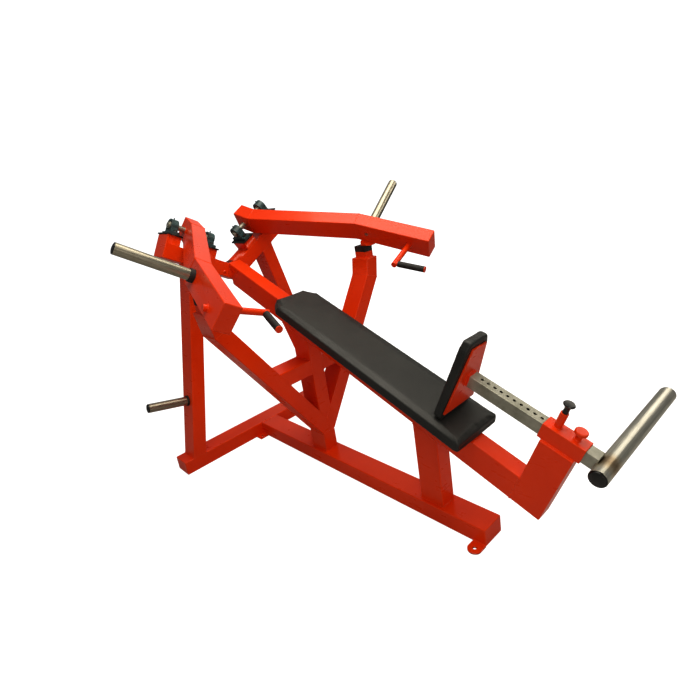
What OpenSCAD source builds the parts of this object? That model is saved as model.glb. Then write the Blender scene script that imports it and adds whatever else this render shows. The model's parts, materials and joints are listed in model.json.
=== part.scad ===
// Plate-loaded lever chest press with a fixed inclined bench.
// Two bent press arms turn in pillow block bearings on a V-shaped rear crossbeam. A seat back and a
// foot bar share one square tube that slides through a guide sleeve and is held by a pull pin.
//
// Frame: origin on the floor under the pedestal, +X towards the foot end, +Y to the left of the
// person on the bench, +Z up. Millimetres.

/* [Frame tube] */
// Long side of the rectangular frame tube
tube_w = 120; // [116:1:124]
// Short side of the rectangular frame tube
tube_t = 80; // [78:1:82]
// Wall thickness of the frame tube
wall = 4; // [3:0.5:5]

/* [Base] */
// Front end of the base beam, from the pedestal's centre
base_front = 1030; // [1000:5:1060]
// Centre of the rear cross member, behind the pedestal
cross_back = 610; // [600:1:620]
// Length of the rear cross member
cross_len = 1200; // [1160:10:1240]
// Centre of the front post
front_post_x = 760; // [740:5:780]

/* [Bench] */
// Slope of the bench, the seat carriage and the resting arms
bench_angle = 23; // [22.5:0.5:23.5]
// Low front corner of the bench beam, along the floor
foot_x = 1242; // [1232:2:1252]
// Low front corner of the bench beam, above the floor
foot_z = 226; // [220:1:232]
// Height of the riser that carries the guide sleeve
riser_h = 317; // [310:1:325]
// Length of the bench pad
pad_len = 1175; // [1145:5:1180]
// Width of the bench pad
pad_w = 286; // [270:2:300]
// Gap from the riser's front face to the foot end of the bench pad
pad_setback = 322; // [315:1:330]

/* [Seat carriage] */
// Side of the square sliding tube
seat_tube_w = 50; // [48:1:50]
// Distance between the adjustment holes
hole_pitch = 26.5; // [24:0.5:27]
// Number of adjustment holes
hole_count = 16; // [10:1:16]
// Outer diameter of the foot bar
foot_bar_d = 60; // [57:1:62]
// Left end of the foot bar
foot_bar_left = 588; // [560:2:600]
// Right end of the foot bar
foot_bar_right = -76; // [-90:2:-60]

/* [Press arms] */
// Upward slope of the rear crossbeam on both sides
wing_angle = 30; // [29.5:0.5:30.5]
// Distance along the crossbeam's slope to the middle of the arm
pivot_along = 827; // [823:1:831]
// Distance along the arm from the pivot to its front bend
arm_reach = 656; // [640:2:670]
// Sideways offset of the arm at its front bend
arm_spread = 207; // [200:1:214]
// Outer diameter of the weight horns and the storage horns
bar_d = 50; // [49:0.5:50]
// Length of the weight horn outside the arm
horn_len = 335; // [300:5:350]
// Length of the storage horn outside the rear post
storage_len = 240; // [200:5:250]

/* [Hidden] */
$fn = 64;

// Colours
paint = [0.86, 0.16, 0.06];
bare_steel = [0.55, 0.53, 0.46];
dark_iron = [0.16, 0.20, 0.21];
vinyl = [0.05, 0.06, 0.06];
rubber = [0.04, 0.04, 0.04];

// Fits: between welded tubes, and between moving or fitted round parts
weld_gap = 0.2;
running = 0.05;
// Longer than any member, for shapes that only cut
far = 2000;

half_w = tube_w / 2;
half_t = tube_t / 2;

// Round bars and their ends
bar_r = bar_d / 2;
bar_wall = 4;
bar_bore_r = bar_r - bar_wall;
neck_r = bar_r - 1.5;
collar_r = 30;
collar_len = 20;
cap_len = 8;
cap_dome = 5;
cap_plug = 14;
cap_step = 1;

// Floor lugs
lug_r = 29;
lug_t = 8;
lug_hole_r = 8;
front_lug = [base_front - 28, 97];
rear_lug = [-cross_back + half_w + 25, 90];
rear_lug_half = 25;

// Centre fork
pedestal_top = 188;
fork_tilt = 33.8;
fork_root = 198;
fork_kink_y = 488.6;
fork_head_tilt = 9.5;
fork_head = 160;
fork_top = 1031;
brace_bottom = 543;
notch_z = fork_root + half_t / sin(fork_tilt);
fork_kink = [fork_kink_y, fork_root + fork_kink_y / tan(fork_tilt)];
fork_path = [
    [-tube_t * tan(fork_tilt), fork_root - tube_t],
    fork_kink,
    fork_kink + fork_head * [sin(fork_head_tilt), cos(fork_head_tilt)]
];
gusset_depth = 67;
gusset_bottom = 672;

// Arm stops
stop_y = 508;
stop_half_y = 28;
stop_half_x = 42;
stop_post_h = 33;
stop_pad_h = 32;
stop_foot_x = [0, 70];
stop_foot_y = [490, 535];
rest_gap = 0.3;

// Rear posts
post_tilt = 13.5;
post_y = 501;
storage_up = 325;

// Rear crossbeam, in its own sloping frame
wing_top = 946;
wing_end = 979;
wing_mid = wing_top - half_t;
stub_top = 994;
stub_cap = 12;
stub_spacing = 222;
outer_stub = wing_end - half_t;
inner_stub = outer_stub - stub_spacing;
saddle_r = 80;
saddle_sink = 0.5;
wing_path = [
    [-wing_y(wing_end, wing_mid), wing_z(wing_end, wing_mid)],
    [0, wing_mid / cos(wing_angle)],
    [wing_y(wing_end, wing_mid), wing_z(wing_end, wing_mid)]
];
wing_bolt_y = 75;
wing_bolt_z = 1073;
wing_bolt_r = 9;
wing_bolt_head_h = 5;
wing_bolt_dome_r = 12;
wing_bolt_len = wall + 4;

// Bearings
plate_h = 8;
plate_len = 140;
shaft_h = 48;
pivot_up = stub_top + plate_h + shaft_h;
shaft_r = 15;
shaft_reach = 30;
block_len = 132;
block_w = 44;
block_hub_w = 40;
block_web_w = 38;
block_foot = 14;
block_shoulder = 38;
block_r = 36;
web_top_half = 32;
web_top = shaft_h + 12;
nipple_r = 3.5;
nipple_h = 8;
insert_r = 26;
insert_hub_r = 20;
bolt_spacing = 104;
bolt_r = 6;
washer_t = 2.5;

// Press arm, in its own frame: x along the arm, y outwards along the shaft, z square to both
arm_tail = 63;
arm_bend = 45;
arm_front = [1085, 248];
arm_path = [[-arm_tail, 0], [arm_bend, 0], [arm_reach, arm_spread], arm_front];
horn_from_bend = 68;
horn_yaw = 10;
spigot_r = 10;
spigot_proud = 3;

// Handle rod and grip
handle_r = 14.5;
handle_past = 15.5;
grip_rod_r = 12;
grip_r = 15.5;
handle_outer = [967, 295, -27];
handle_corner = [990, 39, 27];
grip_start = 17;
grip_len = 139;
grip_disc_t = 4;
grip_lean = [153, 20, 7];

// Bench pad, along the bench from its low front corner
beam_h = tube_w;
board_t = 18;
cushion_t = 28;
head_chamfer = [66, 50];
foot_corner = 16;
board_inset = 4;
bench_bolt_r = 4;
bench_bolt_at = [-1230, -950, -670, -400];

// Seat carriage, along the bench from its low front corner
sleeve_w = 60;
sleeve_len = 150;
sleeve_front = 14;
sleeve_bore = 51;
slide_up = riser_h + weld_gap + sleeve_w / 2;
seat_tube_wall = 3;
tube_top_up = slide_up + seat_tube_w / 2;
sleeve_top = slide_up + sleeve_w / 2;
plate_at = -438;
plate_t = 8;
plate_low = [98, 206];
plate_high = [44, 495];
seat_pad_t = 44;
seat_pad_side = [[110, 168], [76, 490], [58, 526]];
seat_hole_r = 6.5;
foot_bar_at = 82;
foot_bar_r = foot_bar_d / 2;
foot_bar_drop = 4;
foot_bar_bite = 4;

// Pull pin and clamp, square to the slide
pin_at = -97;
holes_behind_pin = 11;
first_hole = pin_at - holes_behind_pin * hole_pitch;
pin_r = 6;
barrel_r = 13.5;
barrel_bore_r = 9;
barrel_top = 441;
barrel_lid = 8;
shoulder_up = 386;
shoulder_t = 4;
shoulder_r = 8.5;
spring_r = 7.4;
wire_r = 0.8;
coils = 9;
knob_r = 20;
knob_stem_r = 10;
knob_base = barrel_top + 1;
knob_h = 42;
knob_waist_h = 18;
knob_brim_h = 33;
knob_round = 3;
knob_roof = 8;
rod_in_knob_r = 5;
clamp_at = -28;
clamp_boss_top = 392;
clamp_disc_r = 21.5;
clamp_disc = [402, 417];
clamp_disc_round = 3;
clamp_roof = 5;

// ---- Frames and shared shapes ----

function wing_y(along, up) = along * cos(wing_angle) - up * sin(wing_angle);
function wing_z(along, up) = along * sin(wing_angle) + up * cos(wing_angle);

// Height of the bench beam's underside at x
function bench_under(x) = foot_z + (foot_x - x) * tan(bench_angle);

// Unit vector square to the step from p to q, on its left
function left_of(p, q) = [p.y - q.y, q.x - p.x] / norm(q - p);

// Point on the mitred edge of a strip, at distance off from path point i
function edge_point(path, i, off) =
    let (last = len(path) - 1,
         before = left_of(path[max(i, 1) - 1], path[max(i, 1)]),
         after = left_of(path[min(i, last - 1)], path[min(i, last - 1) + 1]))
    path[i] + off * (before + after) / (1 + before * after);

// Outline of a bent bar of the given half width along a path
function strip(path, half) = concat(
    [for (i = [0 : len(path) - 1]) edge_point(path, i, half)],
    [for (i = [len(path) - 1 : -1 : 0]) edge_point(path, i, -half)]
);

// Point at a distance step from p towards q
function toward(p, q, step) = p + (q - p) * step / norm(q - p);

// The same path with both ends pulled in
function shortened(path, cut) =
    let (last = len(path) - 1)
    [for (i = [0 : last])
        i == 0 ? toward(path[0], path[1], cut)
        : i == last ? toward(path[last], path[last - 1], cut)
        : path[i]];

// Points of a circular corner
function corner(centre, r, start, steps = 6) =
    [for (i = [0 : steps]) centre + r * [cos(start + 90 * i / steps), sin(start + 90 * i / steps)]];

module on_side(side) {
    if (side > 0) children();
    else mirror([0, 1, 0]) children();
}

module on_both_sides() {
    for (side = [1, -1]) on_side(side) children();
}

// Profile drawn in Y and Z, extruded along X
module extrude_x(length) {
    rotate([90, 0, 90]) linear_extrude(length, center = true) children();
}

// Profile drawn in X and Z, extruded along Y
module extrude_y(length) {
    rotate([90, 0, 0]) linear_extrude(length, center = true) children();
}

// Closed hollow bar along X: outer profile first, cavity profile second
module hollow_x(length) {
    difference() {
        extrude_x(length) children(0);
        extrude_x(length - 2 * wall) children(1);
    }
}

module box(low, high) {
    translate(low) cube(high - low);
}

module closed_box(low, high) {
    inset = [wall, wall, wall];
    difference() {
        box(low, high);
        box(low + inset, high - inset);
    }
}

// Round tube standing on z = 0
module ring(outer_r, inner_r, length) {
    rotate_extrude() translate([inner_r, 0]) square([outer_r - inner_r, length]);
}

// Turns z to the given direction
module along(direction) {
    rotate([0, acos(direction.z / norm(direction)), atan2(direction.y, direction.x)]) children();
}

module rod(p, q, r) {
    translate(p) along(q - p) cylinder(h = norm(q - p), r = r);
}

module bench_frame() {
    translate([foot_x, 0, foot_z]) rotate([0, bench_angle, 0]) children();
}

// Sloping frame of the left half of the rear crossbeam: y along the slope, z square to it
module wing_frame() {
    translate([-cross_back, 0, 0]) rotate([wing_angle, 0, 0]) children();
}

module arm_frame() {
    wing_frame() translate([0, pivot_along, pivot_up]) rotate([0, bench_angle, 0]) children();
}

// Root of the weight horn on the arm's centre line, z outwards
module horn_frame() {
    root = toward(arm_path[2], arm_front, horn_from_bend);
    arm_frame() translate([root.x, root.y, 0]) rotate([-90, 0, horn_yaw]) children();
}

// Frame of the left rear post: z up along the post, y square to it, outwards
module post_frame() {
    translate([-cross_back, post_y, tube_t]) rotate([post_tilt, 0, 0]) children();
}

// Side view of an upright tube that is cut to the slope of the bench beam
module post_side(x0, x1, bottom, inset) {
    lift = weld_gap + inset / cos(bench_angle);
    polygon([
        [x0 + inset, bottom + inset],
        [x1 - inset, bottom + inset],
        [x1 - inset, bench_under(x1 - inset) - lift],
        [x0 + inset, bench_under(x0 + inset) - lift]
    ]);
}

// ---- Base ----

module base_beam() {
    color(paint) closed_box([-cross_back + half_w + weld_gap, -half_w, 0], [base_front, half_w, tube_t]);
}

module cross_member() {
    color(paint)
        closed_box([-cross_back - half_w, -cross_len / 2, 0], [-cross_back + half_w, cross_len / 2, tube_t]);
}

module front_lug_plate() {
    inner = half_w + weld_gap;
    difference() {
        union() {
            translate([front_lug.x, front_lug.y, 0]) cylinder(h = lug_t, r = lug_r);
            box([front_lug.x - lug_r, inner, 0], [front_lug.x + lug_r, front_lug.y, lug_t]);
        }
        translate([front_lug.x, front_lug.y, -1]) cylinder(h = lug_t + 2, r = lug_hole_r);
    }
}

module rear_lug_plate() {
    back = -cross_back + half_w + weld_gap;
    inner = half_w + weld_gap;
    difference() {
        box([back, inner, 0], [rear_lug.x + rear_lug_half, rear_lug.y + rear_lug_half, lug_t]);
        translate([rear_lug.x, rear_lug.y, -1]) cylinder(h = lug_t + 2, r = lug_hole_r);
    }
}

module floor_lugs() {
    color(paint) {
        on_side(-1) front_lug_plate();
        on_both_sides() rear_lug_plate();
    }
}

module front_post() {
    x0 = front_post_x - half_w;
    x1 = front_post_x + half_w;
    color(paint) difference() {
        extrude_y(tube_t) post_side(x0, x1, tube_t + weld_gap, 0);
        extrude_y(tube_t - 2 * wall) post_side(x0, x1, tube_t + weld_gap, wall);
    }
}

// ---- Centre fork ----

module pedestal() {
    color(paint)
        closed_box([-half_w, -half_t, tube_t + weld_gap], [half_w, half_t, pedestal_top]);
}

module fork_profile(inset) {
    low = pedestal_top + weld_gap + inset;
    intersection() {
        polygon(strip(fork_path, half_t - inset));
        translate([weld_gap / 2 + inset, low]) square([far, fork_top - inset - low]);
    }
}

module fork(side) {
    color(paint) on_side(side) hollow_x(tube_w) {
        fork_profile(0);
        fork_profile(wall);
    }
}

module brace_profile(inset) {
    low = brace_bottom + inset;
    high = brace_bottom + tube_t - inset;
    inner = half_t + weld_gap + inset;
    slack = (weld_gap + inset) / cos(fork_tilt);
    polygon([
        [inner, low],
        [(low - notch_z) * tan(fork_tilt) - slack, low],
        [(high - notch_z) * tan(fork_tilt) - slack, high],
        [inner, high]
    ]);
}

module fork_braces() {
    color(paint) on_both_sides() hollow_x(tube_w) {
        brace_profile(0);
        brace_profile(wall);
    }
}

// Front view of the centre column, pointed to sit in the fork
module column_front(inset) {
    half = half_t - inset;
    tip = notch_z + (weld_gap + inset) / sin(fork_tilt);
    shoulder = tip + half / tan(fork_tilt);
    polygon([[0, tip], [half, shoulder], [half, far], [-half, far], [-half, shoulder]]);
}

module column_solid(inset) {
    intersection() {
        extrude_x(tube_w - 2 * inset) column_front(inset);
        extrude_y(tube_t) post_side(-half_w, half_w, pedestal_top, inset);
    }
}

module centre_column() {
    color(paint) difference() {
        column_solid(0);
        column_solid(wall);
    }
}

module column_gusset() {
    front = -half_w - weld_gap;
    rear = -half_w - gusset_depth;
    color(paint) extrude_y(tube_t) polygon([
        [front, gusset_bottom],
        [front, bench_under(front) - weld_gap],
        [rear, bench_under(rear) - weld_gap]
    ]);
}

module stop_posts() {
    low = fork_top + weld_gap;
    color(paint) on_both_sides()
        closed_box([-stop_half_x, stop_y - stop_half_y, low],
                   [stop_half_x, stop_y + stop_half_y, low + stop_post_h]);
}

stop_pad_top = fork_top + 2 * weld_gap + stop_post_h + stop_pad_h;

module stop_pads() {
    color(rubber) on_both_sides()
        box([-stop_half_x, stop_y - stop_half_y, stop_pad_top - stop_pad_h],
            [stop_half_x, stop_y + stop_half_y, stop_pad_top]);
}

// ---- Rear posts and crossbeam ----

function post_line(z) = [post_y - (z - tube_t) * tan(post_tilt), z];

module rear_post_profile(inset) {
    difference() {
        intersection() {
            polygon(strip([post_line(0), post_line(far)], half_t - inset));
            translate([0, tube_t + weld_gap + inset]) square([far, far]);
        }
        rotate(wing_angle) translate([0, wing_top - tube_t - weld_gap - inset]) square([far, far]);
    }
}

module rear_post(side) {
    color(paint) on_side(side) difference() {
        translate([-cross_back, 0, 0]) hollow_x(tube_w) {
            rear_post_profile(0);
            rear_post_profile(wall);
        }
        post_frame() translate([0, 0, storage_up]) rotate([-90, 0, 0])
            cylinder(h = half_t + 1, r = neck_r + weld_gap);
    }
}

// Tube stubs that carry the bearing plates, in the beam's own cross section frame
module bearing_stubs(inset, low, high) {
    on_both_sides() rotate([wing_angle, 0, 0]) for (middle = [inner_stub, outer_stub])
        box([-half_w + inset, middle - half_t + inset, low], [half_w - inset, middle + half_t - inset, high]);
}

// Concave fillet in the bottom of the V
module saddle_profile() {
    valley = wing_top / cos(wing_angle);
    reach = saddle_r * sin(wing_angle);
    rise = reach * tan(wing_angle);
    difference() {
        polygon([[-reach, valley + rise], [0, valley - 1], [reach, valley + rise]]);
        translate([0, valley + saddle_r / cos(wing_angle) - saddle_sink]) circle(saddle_r);
    }
}

module wing_tube() {
    difference() {
        union() {
            extrude_x(tube_w) polygon(strip(wing_path, half_t));
            extrude_x(tube_w) saddle_profile();
            bearing_stubs(0, wing_top - 1, stub_top);
        }
        extrude_x(tube_w - 2 * wall) polygon(strip(shortened(wing_path, wall), half_t - wall));
        bearing_stubs(wall, wing_top, stub_top - stub_cap);
    }
}

module at_bearings() {
    wing_frame() for (middle = [inner_stub, outer_stub]) translate([0, middle, stub_top]) children();
}

module at_bearing_bolts() {
    at_bearings() for (x = [-bolt_spacing / 2, bolt_spacing / 2]) translate([x, 0, 0]) children();
}

module at_wing_bolts() {
    for (y = [-wing_bolt_y, wing_bolt_y])
        translate([-cross_back + half_w, y, wing_bolt_z]) rotate([0, 90, 0]) children();
}

module wing_beam() {
    color(paint) difference() {
        translate([-cross_back, 0, 0]) wing_tube();
        on_both_sides() at_bearing_bolts() translate([0, 0, -stub_cap - 1])
            cylinder(h = stub_cap + 2, r = bolt_r + running);
        at_wing_bolts() translate([0, 0, -wall - 1]) cylinder(h = wall + 2, r = wing_bolt_r / 2 + running);
    }
}

module wing_bolts() {
    color(paint) at_wing_bolts() {
        translate([0, 0, -wing_bolt_len]) cylinder(h = wing_bolt_len + 1, r = wing_bolt_r / 2);
        translate([0, 0, weld_gap]) intersection() {
            cylinder(h = wing_bolt_head_h, r = wing_bolt_r);
            translate([0, 0, wing_bolt_head_h - wing_bolt_dome_r]) sphere(r = wing_bolt_dome_r);
        }
    }
}

// ---- Bearings ----

module bearing_plates() {
    color(dark_iron) on_both_sides() difference() {
        at_bearings()
            box([-plate_len / 2, -half_t - 2, running], [plate_len / 2, half_t + 2, plate_h - running]);
        at_bearing_bolts() cylinder(h = plate_h, r = bolt_r + running);
    }
}

// Housing with its foot on z = 0 and its bore along y at shaft height
module block_shape() {
    extrude_y(block_web_w) polygon([
        [-block_shoulder, block_foot - 2], [block_shoulder, block_foot - 2],
        [web_top_half, web_top], [-web_top_half, web_top]
    ]);
    box([-block_len / 2, -block_w / 2, 0], [block_len / 2, block_w / 2, block_foot]);
    translate([0, 0, shaft_h]) rotate([90, 0, 0]) cylinder(h = block_hub_w, r = block_r, center = true);
    translate([0, 0, shaft_h + block_r - 3]) cylinder(h = nipple_h + 3, r = nipple_r);
}

module bearing_blocks() {
    color(dark_iron) on_both_sides() difference() {
        at_bearings() translate([0, 0, plate_h]) block_shape();
        at_bearings() translate([0, 0, plate_h + shaft_h]) rotate([90, 0, 0])
            cylinder(h = block_w + 2, r = insert_r + running, center = true);
        at_bearing_bolts() cylinder(h = plate_h + block_foot + 1, r = bolt_r + running);
    }
}

// Insert ring with its longer inner ring, along y
module insert_shape() {
    outer_half = 10;
    inner_half = 24;
    inner_r = shaft_r + running;
    rotate([90, 0, 0]) {
        translate([0, 0, -outer_half]) ring(insert_r, inner_r, 2 * outer_half);
        translate([0, 0, -inner_half]) ring(insert_hub_r, inner_r, 2 * inner_half);
    }
}

module bearing_inserts() {
    color(bare_steel) on_both_sides() at_bearings() translate([0, 0, plate_h + shaft_h]) insert_shape();
}

// Bolt with a washer and a hexagon head on z = 0, its shank downwards
module hex_bolt(r, length) {
    head_h = 1.2 * r;
    translate([0, 0, -length]) cylinder(h = length, r = r);
    cylinder(h = washer_t, r = 2 * r);
    cylinder(h = washer_t + head_h, r = 1.8 * r, $fn = 6);
}

module bearing_bolts() {
    head = plate_h + block_foot + running;
    color(dark_iron) on_both_sides() at_bearing_bolts() translate([0, 0, head])
        hex_bolt(bolt_r, head + stub_cap - 1);
}

// ---- Bench ----

module bench_beam_profile(inset) {
    back = -cross_back + half_w + weld_gap + inset;
    front = -tube_w - weld_gap - inset;
    rise = beam_h / cos(bench_angle);
    low = bench_under(back) + inset / cos(bench_angle);
    high = bench_under(back) + rise - inset / cos(bench_angle);
    polygon([
        [back, low],
        bench_xz(front, inset),
        bench_xz(front, beam_h - inset),
        [back, high]
    ]);
}

function bench_xz(along, up) = [
    foot_x + along * cos(bench_angle) + up * sin(bench_angle),
    foot_z - along * sin(bench_angle) + up * cos(bench_angle)
];

module bench_beam() {
    color(paint) difference() {
        extrude_y(tube_t) bench_beam_profile(0);
        extrude_y(tube_t - 2 * wall) bench_beam_profile(wall);
        bench_frame() for (at = bench_bolt_at) translate([at, 0, -1])
            cylinder(h = beam_h + 2, r = bench_bolt_r + running);
    }
}

module seat_riser() {
    color(paint) bench_frame() closed_box([-tube_w, -half_t, 0], [0, half_t, riser_h]);
}

// Bench pad outline: chamfered corners at the head end, rounded ones at the foot end
module pad_outline(inset) {
    foot = -pad_setback - inset;
    head = -pad_setback - pad_len + inset;
    side = pad_w / 2 - inset;
    r = foot_corner - inset;
    polygon(concat(
        [[head, -side + head_chamfer.y], [head + head_chamfer.x, -side]],
        corner([foot - r, -side + r], r, -90),
        corner([foot - r, side - r], r, 0),
        [[head + head_chamfer.x, side], [head, side - head_chamfer.y]]
    ));
}

module bench_board() {
    low = beam_h + weld_gap;
    color(vinyl) bench_frame() difference() {
        translate([0, 0, low]) linear_extrude(board_t) pad_outline(board_inset);
        for (at = bench_bolt_at) translate([at, 0, low - 1])
            cylinder(h = board_t - 3, r = bench_bolt_r + running);
    }
}

module bench_pad() {
    low = beam_h + board_t + 2 * weld_gap;
    color(vinyl) bench_frame() translate([0, 0, low]) linear_extrude(cushion_t) pad_outline(0);
}

module bench_bolts() {
    color(dark_iron) bench_frame() for (at = bench_bolt_at)
        translate([at, 0, -running]) mirror([0, 0, 1]) hex_bolt(bench_bolt_r, beam_h + board_t - 6);
}

// ---- Guide sleeve, pull pin and clamp ----

module guide_sleeve() {
    back = sleeve_front - sleeve_len;
    outer = sleeve_w / 2;
    inner = sleeve_bore / 2;
    color(paint) bench_frame() difference() {
        box([back, -outer, slide_up - outer], [sleeve_front, outer, slide_up + outer]);
        box([back - 1, -inner, slide_up - inner], [sleeve_front + 1, inner, slide_up + inner]);
        for (at = [pin_at, clamp_at]) translate([at, 0, slide_up])
            cylinder(h = sleeve_w, r = pin_r + running);
    }
}

module pin_barrel() {
    low = sleeve_top + weld_gap;
    color(paint) bench_frame() translate([pin_at, 0, 0]) difference() {
        translate([0, 0, low]) cylinder(h = barrel_top - low, r = barrel_r);
        translate([0, 0, low - 1]) cylinder(h = barrel_top - barrel_lid - low + 1, r = barrel_bore_r);
        translate([0, 0, low]) cylinder(h = barrel_top, r = pin_r + running);
    }
}

module pin_spring() {
    low = shoulder_up + shoulder_t + wire_r + running;
    high = barrel_top - barrel_lid - wire_r - running;
    color(bare_steel) bench_frame() for (i = [0 : coils - 1])
        translate([pin_at, 0, low + (high - low) * i / (coils - 1)])
            rotate_extrude() translate([spring_r, 0]) circle(wire_r, $fn = 16);
}

module pin_plunger() {
    low = tube_top_up + rest_gap;
    color(bare_steel) bench_frame() translate([pin_at, 0, 0]) {
        translate([0, 0, low]) cylinder(h = knob_base - low - 1, r = pin_r);
        translate([0, 0, shoulder_up]) cylinder(h = shoulder_t, r = shoulder_r);
        translate([0, 0, low]) cylinder(h = knob_base + knob_h - knob_roof - 2 - low, r = rod_in_knob_r);
    }
}

module pin_knob() {
    bore = rod_in_knob_r + running;
    color(rubber) bench_frame() translate([pin_at, 0, knob_base]) rotate_extrude() polygon([
        [bore, 0], [knob_stem_r, 0],
        [knob_stem_r - 1, knob_waist_h], [knob_stem_r + 2, (knob_waist_h + 2 * knob_brim_h) / 3],
        [knob_r - knob_round / 2, knob_brim_h], [knob_r, knob_brim_h + knob_round],
        [knob_r - knob_round, knob_h - knob_round / 2], [0, knob_h],
        [0, knob_h - knob_roof], [bore, knob_h - knob_roof]
    ]);
}

module clamp_boss() {
    low = sleeve_top + weld_gap;
    color(paint) bench_frame() translate([clamp_at, 0, low])
        ring(knob_stem_r, pin_r + running, clamp_boss_top - low);
}

module clamp_screw() {
    low = tube_top_up + rest_gap;
    color(bare_steel) bench_frame() translate([clamp_at, 0, low])
        cylinder(h = clamp_disc[1] - clamp_roof - 1 - low, r = pin_r);
}

module clamp_knob() {
    neck = clamp_boss_top + 1;
    bore = pin_r + running;
    color(paint) bench_frame() translate([clamp_at, 0, 0]) rotate_extrude() polygon([
        [bore, neck], [knob_stem_r, neck], [knob_stem_r, clamp_disc[0]],
        [clamp_disc_r - clamp_disc_round, clamp_disc[0]],
        [clamp_disc_r, clamp_disc[0] + clamp_disc_round],
        [clamp_disc_r, clamp_disc[1] - clamp_disc_round],
        [clamp_disc_r - clamp_disc_round, clamp_disc[1]], [0, clamp_disc[1]],
        [0, clamp_disc[1] - clamp_roof], [bore, clamp_disc[1] - clamp_roof]
    ]);
}

// ---- Seat carriage ----

module seat_tube() {
    half = seat_tube_w / 2;
    inner = half - seat_tube_wall;
    back = plate_at + weld_gap;
    front = foot_bar_at - foot_bar_r + foot_bar_bite;
    color(bare_steel) bench_frame() difference() {
        box([back, -half, slide_up - half], [front, half, slide_up + half]);
        box([back - 1, -inner, slide_up - inner], [front + 1, inner, slide_up + inner]);
        translate([foot_bar_at, 0, slide_up - foot_bar_drop]) rotate([90, 0, 0])
            cylinder(h = sleeve_w, r = foot_bar_r + weld_gap, center = true);
        for (i = [0 : hole_count - 1])
            translate([first_hole + i * hole_pitch, 0, slide_up]) cylinder(h = half + 1, r = seat_hole_r);
    }
}

module seat_plate() {
    color(paint) bench_frame() translate([plate_at - plate_t / 2, 0, 0]) extrude_x(plate_t)
        polygon([[-plate_low.x, plate_low.y], plate_low, plate_high, [-plate_high.x, plate_high.y]]);
}

module seat_pad() {
    middle = plate_at - plate_t - weld_gap - seat_pad_t / 2;
    other_side = [for (i = [len(seat_pad_side) - 1 : -1 : 0]) [-seat_pad_side[i].x, seat_pad_side[i].y]];
    color(vinyl) bench_frame() translate([middle, 0, 0]) extrude_x(seat_pad_t)
        polygon(concat(seat_pad_side, other_side));
}

module at_foot_bar() {
    bench_frame() translate([foot_bar_at, 0, slide_up - foot_bar_drop]) children();
}

// Domed end plug: its rim at z = 0, its dome upwards and its spigot inside the tube below
module end_cap(tube_r) {
    rim_r = tube_r - cap_step;
    plug_r = tube_r - bar_wall - running;
    dome_r = (rim_r * rim_r + cap_dome * cap_dome) / (2 * cap_dome);
    translate([0, 0, running]) cylinder(h = cap_len - cap_dome, r = rim_r);
    translate([0, 0, -cap_plug]) cylinder(h = cap_plug + 1, r = plug_r);
    translate([0, 0, cap_len - cap_dome]) intersection() {
        cylinder(h = cap_dome, r = rim_r);
        translate([0, 0, cap_dome - dome_r]) sphere(r = dome_r);
    }
}

module foot_bar() {
    low = foot_bar_right + cap_len;
    high = foot_bar_left - cap_len;
    color(bare_steel) at_foot_bar() translate([0, low, 0]) rotate([-90, 0, 0])
        ring(foot_bar_r, foot_bar_r - bar_wall, high - low);
}

module foot_bar_caps() {
    color(rubber) at_foot_bar() {
        translate([0, foot_bar_left - cap_len, 0]) rotate([-90, 0, 0]) end_cap(foot_bar_r);
        translate([0, foot_bar_right + cap_len, 0]) rotate([90, 0, 0]) end_cap(foot_bar_r);
    }
}

// ---- Storage horns ----

module storage_frame() {
    post_frame() translate([0, 0, storage_up]) rotate([-90, 0, 0]) children();
}

// Round tube with a thinner neck from z = root, through its collar, to z = shoulder
module necked_bar(root, shoulder, end) {
    difference() {
        union() {
            translate([0, 0, root]) cylinder(h = end - root, r = neck_r);
            translate([0, 0, shoulder]) cylinder(h = end - shoulder, r = bar_r);
        }
        translate([0, 0, root - 1]) cylinder(h = end - root + 2, r = bar_bore_r);
    }
}

module storage_horns() {
    shoulder = half_t + 2 * weld_gap + collar_len / 2;
    color(bare_steel) on_both_sides() storage_frame()
        necked_bar(half_t - wall, shoulder, half_t + storage_len - cap_len);
}

module storage_collars() {
    color(rubber) on_both_sides() storage_frame() translate([0, 0, half_t + weld_gap])
        ring(collar_r, neck_r + weld_gap, collar_len / 2);
}

module storage_caps() {
    color(rubber) on_both_sides() storage_frame() translate([0, 0, half_t + storage_len - cap_len])
        end_cap(bar_r);
}

// ---- Press arms ----

module arm_solid(inset) {
    linear_extrude(tube_w - 2 * inset, center = true)
        polygon(strip(shortened(arm_path, inset), half_t - inset));
}

module arm(side) {
    color(paint) on_side(side) difference() {
        arm_frame() arm_solid(0);
        arm_frame() arm_solid(wall);
        arm_frame() rotate([90, 0, 0]) cylinder(h = 2 * tube_t, r = shaft_r + running, center = true);
        horn_frame() cylinder(h = half_t + wall, r = neck_r + weld_gap);
        horn_frame() translate([0, 0, -half_t - wall]) cylinder(h = half_t, r = spigot_r + weld_gap);
        arm_frame() rod(handle_outer, handle_corner, handle_r + weld_gap);
    }
}

module shaft(side) {
    color(bare_steel) on_side(side) wing_frame() translate([0, inner_stub - shaft_reach, pivot_up])
        rotate([-90, 0, 0]) cylinder(h = stub_spacing + 2 * shaft_reach, r = shaft_r);
}

module stop_foot(side) {
    low = stop_pad_top + rest_gap;
    reach = 200;
    color(paint) on_side(side) intersection() {
        box([stop_foot_x[0], stop_foot_y[0], low], [stop_foot_x[1], stop_foot_y[1], low + reach]);
        arm_frame() box([arm_bend, -reach, -half_w - weld_gap - reach],
                        [arm_front.x, 2 * arm_spread, -half_w - weld_gap]);
    }
}

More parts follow.
